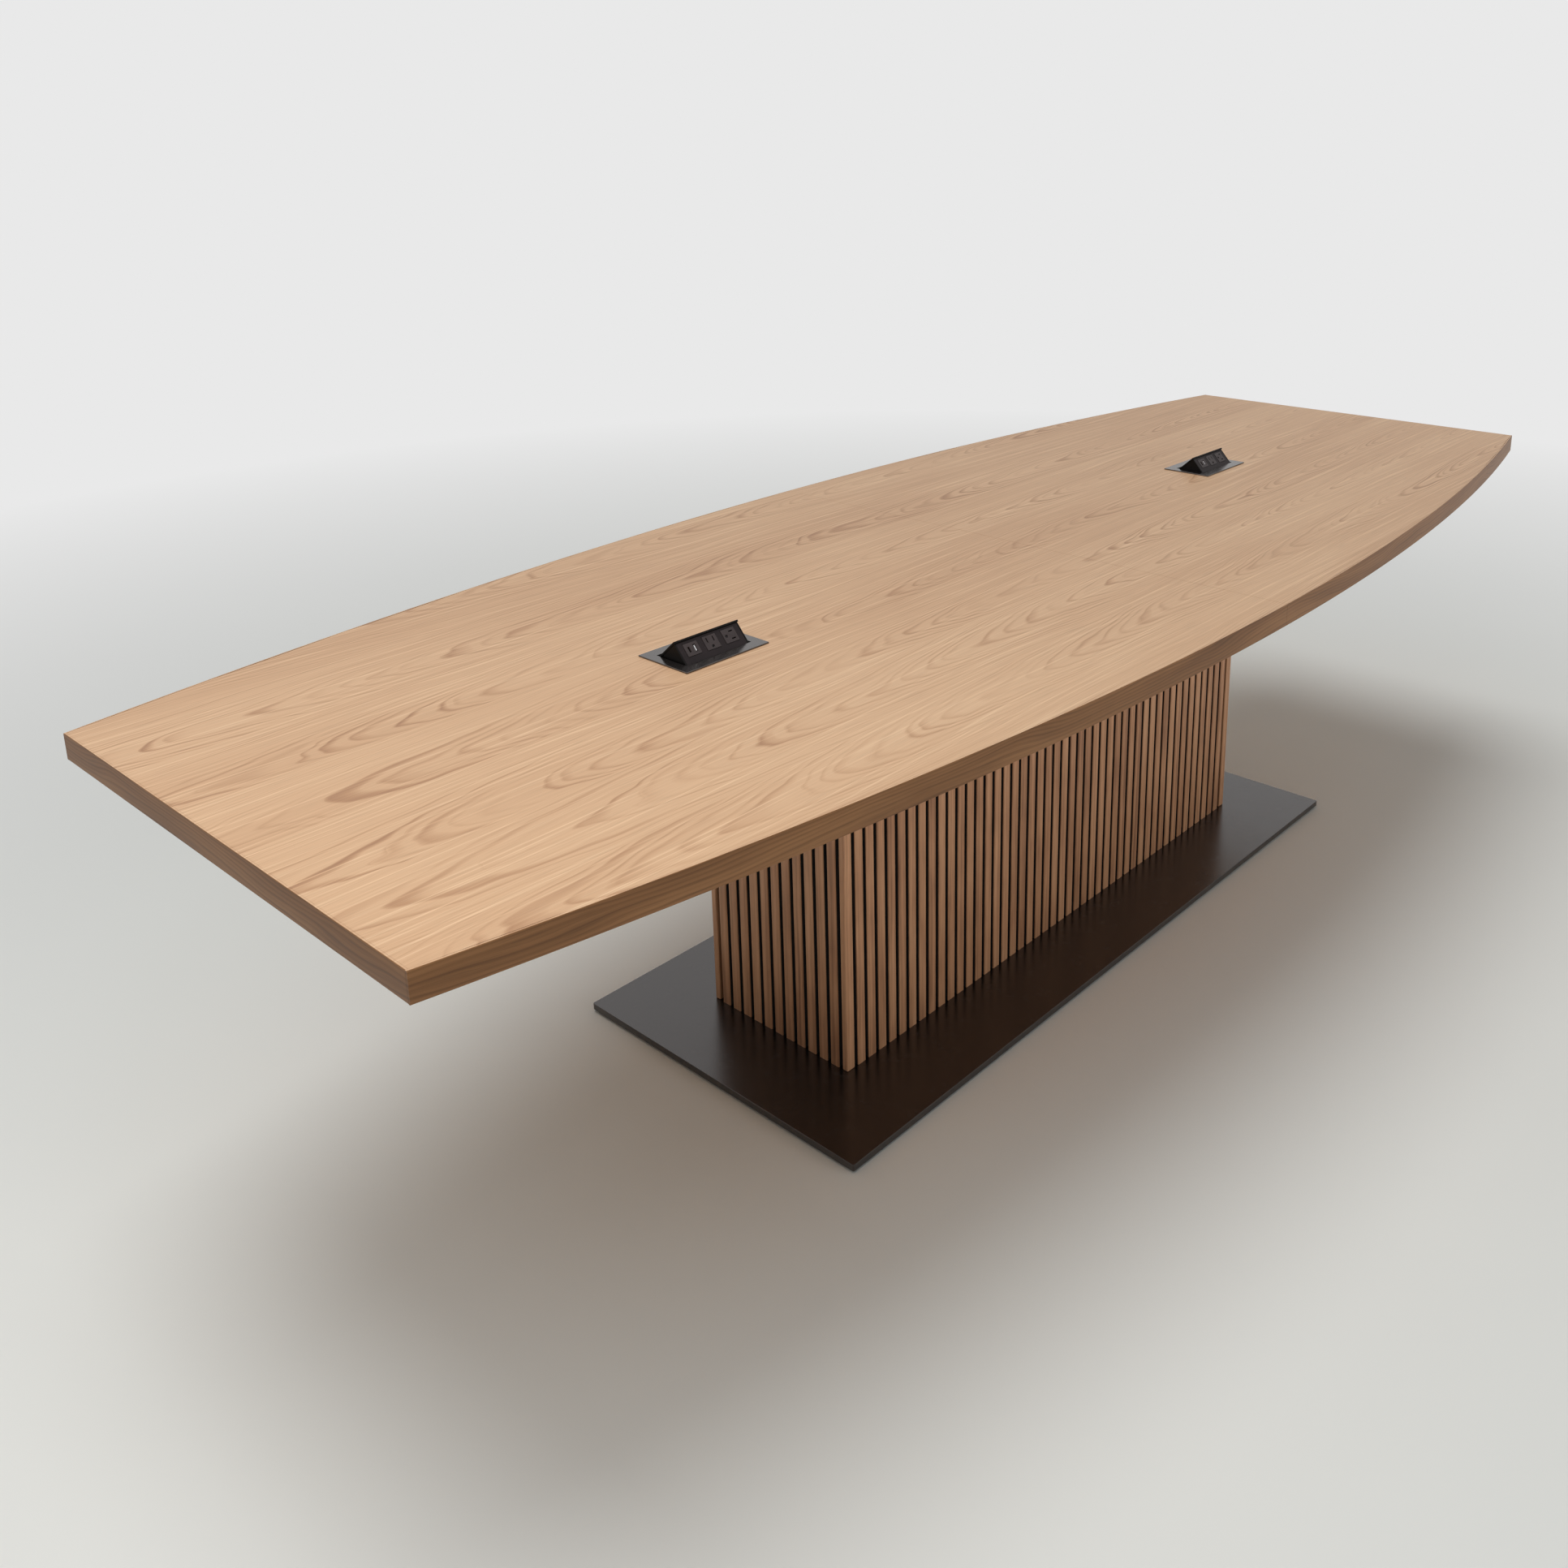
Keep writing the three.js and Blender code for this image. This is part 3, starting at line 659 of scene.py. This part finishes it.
for end in ENDS:
    swing = f"power_flip_{end}"
    eased(f"power_bezel_{end}", POWER_ROUND, "power_black")
    eased(f"power_tub_{end}", POWER_ROUND, "power_black", segments=2, paint="power_lid")
    eased(f"cord_gland_{end}", POWER_ROUND, "power_black", segments=2, paint="power_lid")
    eased(f"clamp_yoke_{end}", STEEL_ROUND, "steel", segments=2)
    eased(f"hinge_rod_{end}", STEEL_ROUND, "steel", segments=2)
    eased(f"power_lid_{end}", POWER_ROUND, "power_black", swing, paint="power_lid")
    eased(f"socket_face_{end}", INSERT_ROUND, "power_black", swing, paint="power_face")
    for insert in ("usb_block", "outlet_upright", "outlet_turned"):
        eased(f"{insert}_{end}", INSERT_ROUND, "power_insert", swing)
    port_tongue(end)
    for insert in SLEEVE_PLACES:
        ground_sleeve(insert, end)


# The CAD nodes that still show

SHOWN = {"seam_spline": "oak_veneer"}
for name in frame["nodes"]:
    if name.startswith("carcass"):
        SHOWN[name] = "black_board"
for name, paint in SHOWN.items():
    frame["nodes"][name].data.materials.clear()
    frame["nodes"][name].data.materials.append(MATERIALS[paint])


# Stage and light


def seen_directly(tree):
    """1 where the camera, a gloss or a clear piece looks at a surface, and 0 where it only lights others."""
    path = tree.nodes.new("ShaderNodeLightPath")
    seen = path.outputs["Is Camera Ray"]
    for extra in ("Is Glossy Ray", "Is Transmission Ray"):
        either = tree.nodes.new("ShaderNodeMath")
        either.operation = "MAXIMUM"
        tree.links.new(seen, either.inputs[0])
        tree.links.new(path.outputs[extra], either.inputs[1])
        seen = either.outputs[0]
    return seen


def add_floor():
    """A pale floor that turns to the wall's colour away from the table."""
    mesh = bpy.data.meshes.new("floor")
    corners = [(-1, -1), (1, -1), (1, 1), (-1, 1)]
    mesh.from_pydata([(FLOOR_HALF * x, FLOOR_HALF * y, 0.0) for x, y in corners], [], [(0, 1, 2, 3)])
    paint = Paint("floor")
    x, y, _ = paint.place()
    level = paint.vector(x, y)
    mottle = paint.noise(level, 2.0, 3.0)
    colour = paint.mix(paint.spread(mottle, 0.0, FLOOR_MOTTLE), linear(FLOOR_COLOUR), shade(0.5))
    mesh.materials.append(paint.finish(colour, FLOOR_ROUGHNESS))
    far = paint.node("VectorMath", {0: level}, operation="LENGTH").outputs["Value"]
    blend = paint.math("MULTIPLY", paint.grey(far, FLOOR_NEAR, FLOOR_FAR), seen_directly(paint.tree))
    wall = paint.node("Emission", {"Color": linear(WALL_COLOUR)})
    both = paint.node("MixShader", {0: blend, 1: paint.surface.outputs[0], 2: wall.outputs[0]})
    paint.tree.links.new(both.outputs[0], paint.tree.nodes["Material Output"].inputs["Surface"])
    floor = bpy.data.objects.new("floor", mesh)
    bpy.context.scene.collection.objects.link(floor)


def aim(thing, direction):
    """Points a lamp along a direction."""
    thing.rotation_mode = "QUATERNION"
    thing.rotation_quaternion = Vector(direction).to_track_quat("-Z", "Y")


def add_light():
    """Even soft light from above, a soft lamp over the near end, and a soft fill from the front."""
    data = bpy.data.lights.new("overhead", "SUN")
    data.energy = SUN_STRENGTH
    data.angle = SUN_SPREAD
    sun = bpy.data.objects.new("overhead", data)
    aim(sun, -Vector(SUN_FROM))
    bpy.context.scene.collection.objects.link(sun)
    for name, lamp in LAMPS.items():
        data = bpy.data.lights.new(name, "AREA")
        data.energy = lamp["power"]
        data.size = lamp["size"]
        made = bpy.data.objects.new(name, data)
        made.location = lamp["place"]
        made.visible_camera = False
        made.visible_glossy = False
        aim(made, Vector(lamp["aim"]) - Vector(lamp["place"]))
        bpy.context.scene.collection.objects.link(made)


def add_world():
    """Soft fill for the object, and the pale wall where the camera or a gloss looks past it."""
    world = bpy.data.worlds.new("studio")
    world.use_nodes = True
    tree = world.node_tree
    fill = tree.nodes["Background"]
    fill.inputs["Color"].default_value = shade(1.0)
    fill.inputs["Strength"].default_value = WORLD_FILL
    wall = tree.nodes.new("ShaderNodeBackground")
    wall.inputs["Color"].default_value = linear(WALL_COLOUR)
    mix = tree.nodes.new("ShaderNodeMixShader")
    tree.links.new(seen_directly(tree), mix.inputs[0])
    tree.links.new(fill.outputs[0], mix.inputs[1])
    tree.links.new(wall.outputs[0], mix.inputs[2])
    tree.links.new(mix.outputs[0], tree.nodes["World Output"].inputs[0])
    bpy.context.scene.world = world


def add_camera():
    data = bpy.data.cameras.new("camera")
    data.sensor_width = SENSOR_WIDTH
    data.lens = FOCAL_LENGTH / IMAGE_SIZE * SENSOR_WIDTH
    data.shift_x = (IMAGE_SIZE / 2 - PRINCIPAL_POINT[0]) / IMAGE_SIZE
    data.shift_y = (PRINCIPAL_POINT[1] - IMAGE_SIZE / 2) / IMAGE_SIZE
    heading, dip = CAMERA_HEADING, CAMERA_DIP
    ahead = Vector((math.cos(dip) * math.sin(heading), math.cos(dip) * math.cos(heading), -math.sin(dip)))
    right = Vector((math.cos(heading), -math.sin(heading), 0.0))
    up = right.cross(ahead)
    axes = Matrix((right, up, -ahead)).transposed()
    turn = axes.to_4x4() @ Matrix.Rotation(CAMERA_ROLL, 4, "Z")
    camera = bpy.data.objects.new("camera", data)
    camera.matrix_world = Matrix.Translation(CAMERA_PLACE) @ turn
    bpy.context.scene.collection.objects.link(camera)
    bpy.context.scene.camera = camera


add_floor()
add_light()
add_world()
add_camera()
bpy.context.scene.view_settings.view_transform = "Standard"
